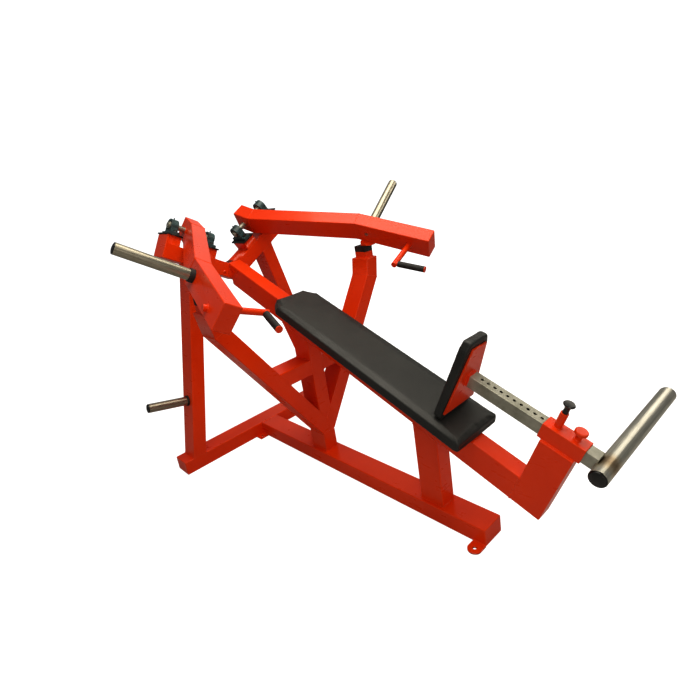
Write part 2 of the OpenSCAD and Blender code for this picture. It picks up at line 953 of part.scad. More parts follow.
// Weight horn: its neck crosses the arm, and a spigot shows on the arm's inner side
module horn(side) {
    lean = horn_yaw - atan2(arm_front.y - arm_spread, arm_front.x - arm_reach);
    root = -half_t + wall + 2 * weld_gap + neck_r * sin(abs(lean));
    shoulder = half_t + 2 * weld_gap + collar_len;
    color(bare_steel) on_side(side) horn_frame() {
        necked_bar(root, shoulder, half_t + horn_len - cap_len);
        translate([0, 0, root]) cylinder(h = bar_wall, r = neck_r);
        translate([0, 0, -half_t - spigot_proud]) cylinder(h = half_t, r = spigot_r);
    }
}

// Collar with its foot cut to the side of the arm
module horn_collar(side) {
    color(rubber) on_side(side) difference() {
        horn_frame() translate([0, 0, half_t - wall])
            ring(collar_r, neck_r + weld_gap, wall + weld_gap + collar_len);
        arm_frame() arm_solid(-weld_gap);
    }
}

module horn_cap(side) {
    color(rubber) on_side(side) horn_frame() translate([0, 0, half_t + horn_len - cap_len]) end_cap(bar_r);
}

function grip_point(distance) = handle_corner + distance * grip_lean / norm(grip_lean);

// Rod through the arm, with the thinner grip rod welded to its side near its inner end
module handle(side) {
    color(paint) on_side(side) arm_frame() {
        rod(handle_outer, toward(handle_corner, handle_outer, -handle_past), handle_r);
        rod(handle_corner, grip_point(grip_start + grip_len), grip_rod_r);
    }
}

module grip(side) {
    color(rubber) on_side(side) arm_frame() translate(grip_point(grip_start)) along(grip_lean)
        ring(grip_r, grip_rod_r + running, grip_len - weld_gap);
}

module grip_end(side) {
    color(paint) on_side(side) arm_frame() translate(grip_point(grip_start + grip_len + weld_gap))
        along(grip_lean) cylinder(h = grip_disc_t, r = grip_r);
}

base_beam();
cross_member();
floor_lugs();
front_post();
pedestal();
fork(1);  // fork_left
fork(-1);  // fork_right
fork_braces();
centre_column();
column_gusset();
rear_post(1);  // rear_post_left
rear_post(-1);  // rear_post_right
wing_beam();
wing_bolts();
bench_beam();
seat_riser();
guide_sleeve();
pin_barrel();
clamp_boss();
bearing_plates();
bearing_blocks();
bearing_inserts();
bearing_bolts();
stop_posts();
stop_pads();
bench_board();
bench_pad();
bench_bolts();
storage_horns();
storage_collars();
storage_caps();
arm(1);  // arm_left
shaft(1);  // shaft_left
stop_foot(1);  // stop_foot_left
horn(1);  // horn_left
horn_collar(1);  // horn_collar_left
horn_cap(1);  // horn_cap_left
handle(1);  // handle_left
grip(1);  // grip_left
grip_end(1);  // grip_end_left
arm(-1);  // arm_right
shaft(-1);  // shaft_right
stop_foot(-1);  // stop_foot_right
horn(-1);  // horn_right
horn_collar(-1);  // horn_collar_right
horn_cap(-1);  // horn_cap_right
handle(-1);  // handle_right
grip(-1);  // grip_right
grip_end(-1);  // grip_end_right
seat_tube();
seat_plate();
seat_pad();
foot_bar();
foot_bar_caps();
pin_spring();
pin_plunger();
pin_knob();
clamp_screw();
clamp_knob();
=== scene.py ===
"""Looks of a plate-loaded incline lever press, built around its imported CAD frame.

Steel parts keep their CAD meshes and get rounded edges and materials; only the crossbeam is a mended
copy of its CAD mesh. Weld beads follow the outlines where one part stands on another. The two cushions
are cloth simulations of their CAD solids.
"""

import json
import math

import bmesh
import bpy
from mathutils import Matrix, Vector, noise
from mathutils.bvhtree import BVHTree


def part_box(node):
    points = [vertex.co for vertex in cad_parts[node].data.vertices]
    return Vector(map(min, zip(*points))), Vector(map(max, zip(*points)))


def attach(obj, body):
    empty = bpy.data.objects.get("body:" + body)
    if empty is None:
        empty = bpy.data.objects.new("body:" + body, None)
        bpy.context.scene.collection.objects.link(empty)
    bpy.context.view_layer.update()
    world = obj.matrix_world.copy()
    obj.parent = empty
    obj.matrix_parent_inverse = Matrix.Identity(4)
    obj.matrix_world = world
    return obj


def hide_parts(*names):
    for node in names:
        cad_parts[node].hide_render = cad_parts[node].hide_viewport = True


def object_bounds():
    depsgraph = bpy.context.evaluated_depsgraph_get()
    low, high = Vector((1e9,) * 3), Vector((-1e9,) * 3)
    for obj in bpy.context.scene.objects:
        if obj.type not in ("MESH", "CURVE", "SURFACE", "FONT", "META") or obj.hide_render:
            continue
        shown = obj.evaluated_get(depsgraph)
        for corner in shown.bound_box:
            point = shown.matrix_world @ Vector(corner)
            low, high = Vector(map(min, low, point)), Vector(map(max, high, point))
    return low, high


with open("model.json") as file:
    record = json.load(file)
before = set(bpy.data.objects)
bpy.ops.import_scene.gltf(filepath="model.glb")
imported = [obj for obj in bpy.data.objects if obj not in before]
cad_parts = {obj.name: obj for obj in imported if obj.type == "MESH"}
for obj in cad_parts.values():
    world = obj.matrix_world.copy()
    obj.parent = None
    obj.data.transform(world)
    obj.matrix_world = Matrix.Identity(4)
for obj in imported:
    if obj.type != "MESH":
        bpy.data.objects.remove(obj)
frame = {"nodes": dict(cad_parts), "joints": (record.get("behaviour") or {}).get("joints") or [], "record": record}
cad_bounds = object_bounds()
scene = bpy.context.scene

MM = 0.001
JOIN_DISTANCE = 0.01 * MM
NODES = frame["nodes"]
SLOT_OF = {row["node"]: row["material_slot"] for row in frame["record"]["subparts"]}
JOINTS = {joint["name"]: joint for joint in frame["joints"]}
BENCH_DOWN = Vector(JOINTS["seat_carriage_slide"]["axis"])
BENCH_UP = Vector(JOINTS["pull_pin_slide"]["axis"])
SIDEWAYS = Vector((0, 1, 0))
SIDES = ("left", "right")


# ---- Mesh helpers ----

def joined_mesh(node):
    """The CAD node's mesh as a bmesh with its split vertices joined."""
    mesh = bmesh.new()
    mesh.from_mesh(NODES[node].data)
    bmesh.ops.remove_doubles(mesh, verts=mesh.verts, dist=JOIN_DISTANCE)
    mesh.normal_update()
    return mesh


def centre_of(node):
    low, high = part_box(node)
    return (low + high) / 2


def new_object(name, mesh):
    """Turns a bmesh into an object of the scene."""
    data = bpy.data.meshes.new(name)
    mesh.to_mesh(data)
    mesh.free()
    made = bpy.data.objects.new(name, data)
    scene.collection.objects.link(made)
    return made


def add_piece(name, mesh, body, material):
    """Turns a bmesh into a piece that rides on a body."""
    piece = new_object(name, mesh)
    piece.data.materials.append(material)
    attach(piece, body)
    return piece


# ---- Node material helpers ----

# The colour sockets of the mix node, by number because others of it have the same names
MIX_FIRST, MIX_SECOND, MIX_RESULT = 6, 7, 2


class Shader:
    """A small builder for node materials."""

    def __init__(self, name):
        self.material = bpy.data.materials.new(name)
        self.material.use_nodes = True
        self.tree = self.material.node_tree
        self.bsdf = self.tree.nodes["Principled BSDF"]

    def add(self, kind, **settings):
        node = self.tree.nodes.new(kind)
        for key, value in settings.items():
            setattr(node, key, value)
        return node

    def link(self, source, target):
        self.tree.links.new(source, target)

    def set(self, **values):
        """Sets inputs of the surface; an underscore in a name stands for a space."""
        for key, value in values.items():
            self.bsdf.inputs[key.replace("_", " ")].default_value = value

    def coordinates(self):
        """Object coordinates: they stay with the piece when it moves."""
        return self.add("ShaderNodeTexCoord").outputs["Object"]

    def mapped(self, vector, scale, rotation=(0, 0, 0)):
        node = self.add("ShaderNodeMapping")
        node.inputs["Scale"].default_value = scale
        node.inputs["Rotation"].default_value = rotation
        self.link(vector, node.inputs["Vector"])
        return node.outputs["Vector"]

    def noise_node(self, vector, scale, detail, roughness):
        node = self.add("ShaderNodeTexNoise")
        node.inputs["Scale"].default_value = scale
        node.inputs["Detail"].default_value = detail
        node.inputs["Roughness"].default_value = roughness
        self.link(vector, node.inputs["Vector"])
        return node

    def noise(self, vector, scale, detail=3.0, roughness=0.5):
        return self.noise_node(vector, scale, detail, roughness).outputs["Fac"]

    def cells(self, vector, scale):
        """Distance to the nearest border of a pattern of cells."""
        node = self.add("ShaderNodeTexVoronoi", feature="DISTANCE_TO_EDGE")
        node.inputs["Scale"].default_value = scale
        self.link(vector, node.inputs["Vector"])
        return node.outputs["Distance"]

    def warped(self, vector, scale, distance):
        """The coordinates pushed about by up to a distance."""
        wobble = self.noise_node(vector, scale, detail=2.0, roughness=0.5).outputs["Color"]
        scaled = self.add("ShaderNodeVectorMath", operation="SCALE")
        scaled.inputs["Scale"].default_value = distance
        self.link(wobble, scaled.inputs[0])
        moved = self.add("ShaderNodeVectorMath", operation="ADD")
        self.link(vector, moved.inputs[0])
        self.link(scaled.outputs[0], moved.inputs[1])
        return moved.outputs[0]

    def remap(self, value, source, target=(0.0, 1.0)):
        """Stretches the source range of a value over the target range, and stops at its ends."""
        node = self.add("ShaderNodeMapRange", clamp=True)
        for name, number in zip(("From Min", "From Max", "To Min", "To Max"), (*source, *target)):
            node.inputs[name].default_value = number
        self.link(value, node.inputs["Value"])
        return node.outputs["Result"]

    def math(self, operation, first, second):
        node = self.add("ShaderNodeMath", operation=operation)
        for socket, value in zip(node.inputs, (first, second)):
            if isinstance(value, (int, float)):
                socket.default_value = value
            else:
                self.link(value, socket)
        return node.outputs[0]

    def mix(self, factor, first, second):
        """Mixes two colours; each is a colour tuple or a socket."""
        node = self.add("ShaderNodeMix", data_type="RGBA")
        self.link(factor, node.inputs["Factor"])
        for number, value in ((MIX_FIRST, first), (MIX_SECOND, second)):
            if isinstance(value, tuple):
                node.inputs[number].default_value = (*value, 1)
            else:
                self.link(value, node.inputs[number])
        return node.outputs[MIX_RESULT]

    def along(self, axis):
        """Distance along an axis, in metres."""
        node = self.add("ShaderNodeVectorMath", operation="DOT_PRODUCT")
        node.inputs[1].default_value = axis
        self.link(self.coordinates(), node.inputs[0])
        return node.outputs["Value"]

    def distance_to(self, point):
        node = self.add("ShaderNodeVectorMath", operation="DISTANCE")
        node.inputs[1].default_value = point
        self.link(self.coordinates(), node.inputs[0])
        return node.outputs["Value"]

    # Lightens sharp edges: partly real wear, partly a painted highlight for the bright line that edges catch
    def edge_wear_and_highlight(self, radius, flatness, share):
        """0 on flats and up to share at edges; flatness is how well the rounded and true normals agree."""
        bevel = self.add("ShaderNodeBevel", samples=4)
        bevel.inputs["Radius"].default_value = radius
        dot = self.add("ShaderNodeVectorMath", operation="DOT_PRODUCT")
        self.link(bevel.outputs["Normal"], dot.inputs[0])
        self.link(self.add("ShaderNodeNewGeometry").outputs["Normal"], dot.inputs[1])
        full_wear_and_highlight, untouched = flatness
        return self.math("MULTIPLY", self.remap(dot.outputs["Value"], (untouched, full_wear_and_highlight)), share)

    def bump(self, height, strength, depth, below=None):
        node = self.add("ShaderNodeBump")
        node.inputs["Strength"].default_value = strength
        node.inputs["Distance"].default_value = depth
        self.link(height, node.inputs["Height"])
        if below is not None:
            self.link(below, node.inputs["Normal"])
        return node.outputs["Normal"]

    def finish(self, colour, roughness, normal):
        for value, name in ((colour, "Base Color"), (roughness, "Roughness"), (normal, "Normal")):
            self.link(value, self.bsdf.inputs[name])
        return self.material


# ---- Materials ----

PAINT_RED = (0.82, 0.050, 0.003)
PAINT_DEEP = (0.74, 0.040, 0.002)
# Lighter edge paint: wear with a painted highlight
PAINT_WEAR_AND_HIGHLIGHT = (0.90, 0.110, 0.020)


def paint_colour(shader, at):
    """Orange-red that is a little deeper in patches and a little lighter along edges, from wear and a painted
    highlight.
    """
    patches = shader.remap(shader.noise(at, 3.0, detail=4.0), (0.35, 0.65))
    colour = shader.mix(patches, PAINT_DEEP, PAINT_RED)
    # Painted highlight along sharp edges, mixed with wear
    edges = shader.edge_wear_and_highlight(4 * MM, flatness=(0.90, 0.995), share=0.45)
    return shader.mix(edges, colour, PAINT_WEAR_AND_HIGHLIGHT)


def paint_material():
    """Gloss powder coat with orange peel, slow waves and faint smears in its gloss."""
    shader = Shader("red_paint")
    at = shader.coordinates()
    smears = shader.noise(shader.mapped(at, (2, 2, 9)), 4.0, detail=6.0, roughness=0.65)
    roughness = shader.remap(smears, (0.3, 0.7), (0.26, 0.33))
    waves = shader.bump(shader.noise(at, 28.0, detail=2.0), strength=0.06, depth=1.5 * MM)
    peel = shader.bump(shader.noise(at, 260.0, detail=2.0), strength=0.04, depth=0.5 * MM, below=waves)
    shader.set(Coat_Weight=0.12, Coat_Roughness=0.08, Specular_IOR_Level=0.26)
    return shader.finish(paint_colour(shader, at), roughness, peel)


OLIVE_TONES = ((0.25, 0.225, 0.165), (0.50, 0.46, 0.37))
# The same stainless as OLIVE_TONES made brighter: a painted reflection of bright surroundings, used on the foot
# bar
REFLECTION_BRIGHTENED_TONES = ((0.40, 0.385, 0.32), (0.70, 0.68, 0.60))
STRAW_TINT = (0.42, 0.27, 0.09)
BURNT_TINT = (0.10, 0.045, 0.03)


def heat_tinted(shader, colour, weld_at, pattern):
    """The colour with ragged burnt and straw rings round a weld."""
    near = shader.math("ADD", shader.distance_to(weld_at), shader.math("MULTIPLY", pattern, 30 * MM))
    straw = shader.remap(near, (45 * MM, 75 * MM), (0.6, 0.0))
    burnt = shader.remap(near, (35 * MM, 55 * MM), (0.8, 0.0))
    return shader.mix(burnt, shader.mix(straw, colour, STRAW_TINT), BURNT_TINT)


def bar_material(name, axis, tones, metallic, weld_at=None):
    """Brushed stainless bar: fine streaks along the bar, faint handling marks and, by a weld, heat tint."""
    shader = Shader(name)
    turn = Vector((0, 0, 1)).rotation_difference(axis).inverted().to_euler()
    at = shader.mapped(shader.coordinates(), (1, 1, 1), tuple(turn))
    streaks = shader.noise(shader.mapped(at, (420, 420, 5)), 1.0, roughness=0.6)
    marks = shader.noise(at, 22.0, detail=5.0, roughness=0.65)
    colour = shader.mix(shader.remap(streaks, (0.3, 0.7)), *tones)
    colour = shader.mix(shader.remap(marks, (0.45, 0.75), (0.0, 0.5)), colour, tones[0])
    if weld_at is not None:
        colour = heat_tinted(shader, colour, weld_at, marks)
    roughness = shader.remap(streaks, (0.25, 0.75), (0.26, 0.42))
    shader.set(Metallic=metallic, Anisotropic=0.4)
    return shader.finish(colour, roughness, shader.bump(streaks, strength=0.12, depth=0.4 * MM))


STEEL_CLEAN = (0.45, 0.44, 0.37)
STEEL_STAINED = (0.28, 0.275, 0.22)
STEEL_METALLIC = 0.85
PAINTED_LENGTH = 20 * MM
PAINT_FADE = 3 * MM


def ground_steel_material(name, painted_end=None):
    """Bare ground steel, grey-olive; the tube is painted red over a short length from painted_end."""
    shader = Shader(name)
    at = shader.coordinates()
    grind = shader.noise(shader.mapped(at, (30, 700, 30)), 1.0, detail=2.0)
    stain = shader.noise(at, 16.0, detail=6.0, roughness=0.62)
    colour = shader.mix(shader.remap(stain, (0.35, 0.7)), STEEL_CLEAN, STEEL_STAINED)
    shader.set(Metallic=STEEL_METALLIC)
    if painted_end is not None:
        border = painted_end.dot(BENCH_DOWN) + PAINTED_LENGTH
        ragged = shader.math("ADD", shader.along(BENCH_DOWN), shader.math("MULTIPLY", stain, 12 * MM))
        bare = shader.remap(ragged, (border, border + PAINT_FADE))
        colour = shader.mix(bare, paint_colour(shader, at), colour)
        shader.link(shader.math("MULTIPLY", bare, STEEL_METALLIC), shader.bsdf.inputs["Metallic"])
    roughness = shader.remap(stain, (0.3, 0.7), (0.38, 0.55))
    return shader.finish(colour, roughness, shader.bump(grind, strength=0.10, depth=0.4 * MM))


def housing_material():
    """Cast iron housings in dark grey-green enamel."""
    enamel, grimy, full_wear_and_highlight = (0.040, 0.085, 0.090), (0.015, 0.024, 0.025), (0.16, 0.20, 0.20)
    shader = Shader("housing_enamel")
    at = shader.coordinates()
    cast = shader.noise(at, 420.0, detail=4.0, roughness=0.6)
    grime = shader.noise(at, 35.0, detail=5.0, roughness=0.6)
    colour = shader.mix(shader.remap(grime, (0.4, 0.7)), enamel, grimy)
    # Lighter edges: wear with a painted highlight
    edges = shader.edge_wear_and_highlight(1.5 * MM, flatness=(0.85, 0.99), share=0.5)
    roughness = shader.remap(grime, (0.3, 0.7), (0.28, 0.5))
    normal = shader.bump(cast, strength=0.35, depth=0.6 * MM)
    return shader.finish(shader.mix(edges, colour, full_wear_and_highlight), roughness, normal)


def dark_steel_material():
    """Blackened steel plates and bolts with mottled scale and brighter edges."""
    black, grey, full_wear_and_highlight = (0.018, 0.020, 0.020), (0.060, 0.062, 0.060), (0.22, 0.21, 0.20)
    shader = Shader("blackened_steel")
    scale = shader.noise(shader.coordinates(), 60.0, detail=6.0, roughness=0.65)
    colour = shader.mix(shader.remap(scale, (0.35, 0.7)), black, grey)
    # Lighter edges: wear with a painted highlight
    edges = shader.edge_wear_and_highlight(1.2 * MM, flatness=(0.85, 0.99), share=0.6)
    roughness = shader.remap(scale, (0.3, 0.7), (0.35, 0.55))
    shader.set(Metallic=0.6)
    normal = shader.bump(scale, strength=0.15, depth=0.4 * MM)
    return shader.finish(shader.mix(edges, colour, full_wear_and_highlight), roughness, normal)


def vinyl_material():
    """Black upholstery vinyl: leather-like grain, soft sheen and slightly greyed by handling."""
    black, greyed, crease_shade = (0.008, 0.009, 0.008), (0.017, 0.018, 0.016), (0.006, 0.006, 0.006)
    shader = Shader("black_vinyl")
    at = shader.coordinates()
    warped = shader.warped(at, 300.0, 1.6 * MM)
    grain = shader.remap(shader.cells(warped, 620.0), (0.0, 0.25))
    pores = shader.noise(at, 1500.0, detail=2.0)
    handling = shader.noise(at, 7.0, detail=5.0, roughness=0.6)
    colour = shader.mix(shader.remap(handling, (0.35, 0.7)), black, greyed)
    # Painted shade: the colour is darker in the grain's creases
    colour = shader.mix(shader.remap(grain, (0.0, 0.5), (0.35, 0.0)), colour, crease_shade)
    roughness = shader.remap(handling, (0.3, 0.7), (0.40, 0.54))
    creases = shader.bump(grain, strength=0.30, depth=0.5 * MM)
    normal = shader.bump(pores, strength=0.08, depth=0.3 * MM, below=creases)
    shader.set(Specular_IOR_Level=0.50, Sheen_Weight=0.03)
    return shader.finish(colour, roughness, normal)


def black_moulding_material(name, gloss_range, grain_scale, grain_strength):
    """Moulded rubber or plastic with a fine surface texture and dusty patches."""
    black, dusty = (0.010, 0.010, 0.010), (0.030, 0.029, 0.027)
    shader = Shader(name)
    at = shader.coordinates()
    grain = shader.noise(at, grain_scale)
    dust = shader.noise(at, 24.0, detail=5.0, roughness=0.6)
    colour = shader.mix(shader.remap(dust, (0.4, 0.75)), black, dusty)
    roughness = shader.remap(dust, (0.3, 0.7), gloss_range)
    return shader.finish(colour, roughness, shader.bump(grain, grain_strength, depth=0.4 * MM))


def floor_material():
    """Near white studio floor: it glows to the camera only, so that it lights the machine as plain grey."""
    grey, pale = (0.40, 0.40, 0.40), (0.43, 0.43, 0.43)
    shader = Shader("pale_floor")
    at = shader.coordinates()
    cloud = shader.noise(at, 1.2, detail=4.0)
    seen = shader.add("ShaderNodeLightPath").outputs["Is Camera Ray"]
    glow = shader.remap(shader.distance_to((0, 0, 0)), (1.2, 3.2), (0.78, 1.0))
    shader.link(shader.math("MULTIPLY", seen, glow), shader.bsdf.inputs["Emission Strength"])
    shader.set(Emission_Color=(1, 1, 1, 1), Specular_IOR_Level=0.1)
    grit = shader.bump(shader.noise(at, 90.0), strength=0.03, depth=1 * MM)
    return shader.finish(shader.mix(cloud, grey, pale), shader.remap(cloud, (0.3, 0.7), (0.6, 0.75)), grit)


RED = paint_material()
STEEL = ground_steel_material("ground_steel")
HOUSING = housing_material()
DARK = dark_steel_material()
VINYL = vinyl_material()
RUBBER = black_moulding_material("black_rubber", (0.55, 0.75), 900.0, 0.30)
PLASTIC = black_moulding_material("black_plastic", (0.28, 0.42), 1200.0, 0.12)


# ---- CAD nodes: rounded edges and materials ----

# In degrees. Edges count as sharp when they turn by more than this and by less than 180 minus this
SHARP_ANGLE = 28
FLAT_ANGLE = 0.5


def is_sharp(edge):
    return SHARP_ANGLE < math.degrees(edge.calc_face_angle(0)) < 180 - SHARP_ANGLE


def edge_group(min_length):
    """Geometry nodes that mark the sharp edges longer than min_length for rounding."""
    group = bpy.data.node_groups.new(f"mark_edges_{round(min_length / MM)}", "GeometryNodeTree")
    for way in ("INPUT", "OUTPUT"):
        group.interface.new_socket("Geometry", in_out=way, socket_type="NodeSocketGeometry")
    new = group.nodes.new
    start, end = new("NodeGroupInput"), new("NodeGroupOutput")
    drop = new("GeometryNodeRemoveAttribute")
    drop.inputs["Name"].default_value = "custom_normal"
    shade = new("GeometryNodeSetShadeSmooth")
    store = new("GeometryNodeStoreNamedAttribute")
    store.data_type = "FLOAT"
    store.domain = "EDGE"
    store.inputs["Name"].default_value = "bevel_weight_edge"
    angle = new("GeometryNodeInputMeshEdgeAngle")
    sharp = new("FunctionNodeCompare")
    sharp.operation = "EQUAL"  # to 90 degrees, within a wide tolerance
    sharp.inputs["B"].default_value = math.radians(90)
    sharp.inputs["Epsilon"].default_value = math.radians(90 - SHARP_ANGLE)
    ends = new("GeometryNodeInputMeshEdgeVertices")
    length = new("ShaderNodeVectorMath")
    length.operation = "DISTANCE"
    long_enough = new("FunctionNodeCompare")
    long_enough.inputs["B"].default_value = min_length
    both = new("FunctionNodeBooleanMath")
    link = group.links.new
    link(start.outputs[0], drop.inputs[0])
    link(drop.outputs[0], shade.inputs[0])
    link(shade.outputs[0], store.inputs[0])
    link(angle.outputs[0], sharp.inputs[0])
    link(ends.outputs["Position 1"], length.inputs[0])
    link(ends.outputs["Position 2"], length.inputs[1])
    link(length.outputs["Value"], long_enough.inputs["A"])
    link(sharp.outputs[0], both.inputs[0])
    link(long_enough.outputs[0], both.inputs[1])
    link(both.outputs[0], store.inputs["Value"])
    link(store.outputs[0], end.inputs[0])
    return group


EDGE_GROUPS = {}


def round_edges(piece, width, min_length, segments=3):
    """Rounds a piece's long sharp edges with modifiers only: its own mesh stays as it is."""
    if min_length not in EDGE_GROUPS:
        EDGE_GROUPS[min_length] = edge_group(min_length)
    joined = piece.modifiers.new("join_vertices", "WELD")
    joined.merge_threshold = JOIN_DISTANCE
    flat = piece.modifiers.new("join_flat_faces", "DECIMATE")
    flat.decimate_type = "DISSOLVE"
    flat.angle_limit = math.radians(FLAT_ANGLE)
    marks = piece.modifiers.new("mark_edges", "NODES")
    marks.node_group = EDGE_GROUPS[min_length]
    bevel = piece.modifiers.new("round_edges", "BEVEL")
    bevel.limit_method = "WEIGHT"
    bevel.width = width
    bevel.segments = segments
    bevel.use_clamp_overlap = False
    normals = piece.modifiers.new("flat_normals", "WEIGHTED_NORMAL")
    normals.weight = 80


def mended_copy(node, name):
    """A painted frame piece that stands for a CAD node, without the folded triangles of no height in it."""
    mesh = joined_mesh(node)
    for face in list(mesh.faces):
        longest = max(face.edges, key=lambda edge: edge.calc_length())
        height = 2 * face.calc_area() / longest.calc_length()
        if height > JOIN_DISTANCE:
            continue
        corner = next(vert for vert in face.verts if vert not in longest.verts)
        start = longest.verts[0]
        share = (corner.co - start.co).length / longest.calc_length()
        bmesh.utils.edge_split(longest, start, share)
        mesh.faces.remove(face)
    bmesh.ops.remove_doubles(mesh, verts=mesh.verts, dist=JOIN_DISTANCE)
    piece = add_piece(name, mesh, "frame", RED)
    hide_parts(node)
    return piece


TUBE_EDGE = 4.5 * MM
FINE_EDGE = 0.7 * MM
LONG_EDGE = 12 * MM
FRAME_TUBES = ["base_beam", "cross_member", "front_post", "pedestal", "fork_left", "fork_right",
               "fork_braces", "centre_column", "rear_post_left", "rear_post_right",
               "bench_beam", "seat_riser", "arm_left", "arm_right"]
PLATE_EDGES = {
    "column_gusset": 3.0 * MM, "guide_sleeve": 2.5 * MM, "seat_tube": 2.5 * MM, "stop_posts": 2.5 * MM,
    "stop_pads": 2.0 * MM, "stop_foot_left": 2.5 * MM, "stop_foot_right": 2.5 * MM,
    "seat_plate": 1.2 * MM, "floor_lugs": 1.2 * MM, "bearing_plates": 1.0 * MM,
}
FINE_NODES = ["wing_bolts", "pin_barrel", "clamp_boss", "bearing_inserts", "bearing_bolts", "bench_bolts",
              "storage_horns", "storage_collars", "foot_bar", "foot_bar_caps", "pin_plunger", "pin_knob",
              "clamp_screw", "clamp_knob", "storage_caps", "bearing_blocks"]
FINE_ARM_PARTS = ["shaft", "horn", "horn_collar", "horn_cap", "grip", "grip_end"]


def round_cad_edges():
    for node in FRAME_TUBES:
        round_edges(NODES[node], TUBE_EDGE, LONG_EDGE)
    round_edges(mended_copy("wing_beam", "crossbeam"), TUBE_EDGE, LONG_EDGE)
    for node, width in PLATE_EDGES.items():
        round_edges(NODES[node], width, LONG_EDGE)
    for node in FINE_NODES + [f"{part}_{side}" for side in SIDES for part in FINE_ARM_PARTS]:
        round_edges(NODES[node], FINE_EDGE, 0.0, segments=2)


def cover_node(node, material):
    data = NODES[node].data
    data.materials.clear()
    data.materials.append(material)


def mount_axis(name):
    return Vector(next(mount["axis"] for mount in frame["record"]["mounts"] if mount["name"] == name))


def cover_cad_nodes():
    """Each node gets the material of its slot, and the bars and the seat tube one along their own axis."""
    by_slot = {"paint": RED, "bare_steel": STEEL, "housing": HOUSING, "dark_steel": DARK, "vinyl": VINYL,
               "rubber": RUBBER, "black_plastic": PLASTIC}
    for node, slot in SLOT_OF.items():
        if slot in by_slot:
            cover_node(node, by_slot[slot])
    for side in SIDES:
        axis = mount_axis(f"weight_horn_{side}")
        cover_node(f"horn_{side}", bar_material(f"brushed_horn_{side}", axis, OLIVE_TONES, 1.0))
    cover_node("storage_horns", bar_material("brushed_storage_horns", SIDEWAYS, OLIVE_TONES, 1.0))
    foot_bar_weld = centre_of("foot_bar")
    foot_bar_weld.y = centre_of("seat_tube").y
    # The foot bar's brighter tones are a painted reflection
    cover_node("foot_bar", bar_material("brushed_foot_bar", SIDEWAYS, REFLECTION_BRIGHTENED_TONES, 0.9, foot_bar_weld))
    cover_node("seat_tube", ground_steel_material("seat_tube_steel", centre_of("seat_plate")))


# ---- Weld beads ----

TOUCH = 0.8 * MM
FLOOR_CLEAR = 4 * MM
SHORTEST_BEAD = 8 * MM
SHORTEST_RING = 60 * MM
POINT_DIGITS = 5

BEAD_STEP = 2.0 * MM
BEAD_SIDES = 6
RIPPLE_LENGTH = 4.2 * MM
RIPPLE_SIZE = 0.10
UNEVEN_SIZE = 0.22
UNEVEN_SCALE = 60
WANDER_SIZE = 0.2
WANDER_SCALE = 90
# A bead's open end starts thin and grows to its full size over a few rings
END_SIZE = 0.4
END_GROWTH = 0.2


def finely(points, closed=False):
    """The same path with a point about every BEAD_STEP."""
    ends = points[1:] + points[:1] if closed else points[1:]
    fine = []
    for start, end in zip(points, ends):
        count = max(1, round((end - start).length / BEAD_STEP))
        fine += [start.lerp(end, i / count) for i in range(count)]
    return fine if closed else fine + [points[-1]]


def chained(segments):
    """Joins segments between points into paths: (points, whether it closes)."""
    around = {}
    for first, second in segments:
        around.setdefault(first, []).append(second)
        around.setdefault(second, []).append(first)
    chains = []
    while around:
        start = min(around, key=lambda point: (len(around[point]), point))
        path = [start]
        while around.get(path[-1]):
            following = around[path[-1]].pop()
            around[following].remove(path[-1])
            path.append(following)
        around = {point: left for point, left in around.items() if left}
        closed = path[0] == path[-1]
        chains.append(([Vector(point) for point in (path[:-1] if closed else path)], closed))
    return chains


def path_length(points):
    return sum((b - a).length for a, b in zip(points, points[1:]))


def touching_outlines(node, other):
    """Paths along the sharp edges of node that lie against other, clear of the floor."""
    mesh, against = joined_mesh(node), joined_mesh(other)
    tree = BVHTree.FromBMesh(against)

    def key(point):
        return tuple(round(value, POINT_DIGITS) for value in point)

    def on_joint(point):
        return point.z > FLOOR_CLEAR and tree.find_nearest(point, TOUCH)[0] is not None

    segments = set()
    for edge in mesh.edges:
        if not is_sharp(edge):
            continue
        points = finely([vert.co for vert in edge.verts])
        on = [on_joint(point) for point in points]
        for i in range(len(points) - 1):
            if on[i] and on[i + 1]:
                segments.add((key(points[i]), key(points[i + 1])))
    mesh.free()
    against.free()
    shortest = {False: SHORTEST_BEAD, True: SHORTEST_RING}
    return [(points, closed) for points, closed in chained(sorted(segments))
            if path_length(points) > shortest[closed]]


def add_bead(mesh, points, closed, radius, lumps=1.0, sides=BEAD_SIDES):
    """A rippled, slightly uneven tube along a path, like a weld bead; with few lumps it is nearly even."""
    count = len(points)
    rings = []
    travelled = 0.0
    aside = None
    for i, point in enumerate(points):
        before = points[i - 1] if closed or i > 0 else point
        after = points[(i + 1) % count] if closed or i < count - 1 else point
        direction = (after - before).normalized()
        aside = aside or direction.orthogonal()
        aside = (aside - direction * aside.dot(direction)).normalized()
        across = direction.cross(aside)
        travelled += (point - points[i - 1]).length if i else 0.0
        ripple = lumps * RIPPLE_SIZE * math.sin(2 * math.pi * travelled / RIPPLE_LENGTH)
        uneven = lumps * UNEVEN_SIZE * noise.noise(point * UNEVEN_SCALE)
        fade = 1.0 if closed else min(1.0, END_SIZE + END_GROWTH * min(i, count - 1 - i))
        size = radius * (1 + ripple + uneven) * fade
        centre = point + aside * noise.noise(point * WANDER_SCALE) * radius * WANDER_SIZE * lumps
        turns = [2 * math.pi * k / sides for k in range(sides)]
        rings.append([mesh.verts.new(centre + size * (math.cos(turn) * aside + math.sin(turn) * across))
                      for turn in turns])
    pairs = list(zip(rings, rings[1:]))
    if closed:
        pairs.append((rings[-1], closest_shift(rings[-1], rings[0])))
    for first, second in pairs:
        for k in range(sides):
            following = (k + 1) % sides
            mesh.faces.new((first[k], first[following], second[following], second[k]))
    if not closed:
        mesh.faces.new(rings[0][::-1])
        mesh.faces.new(rings[-1])


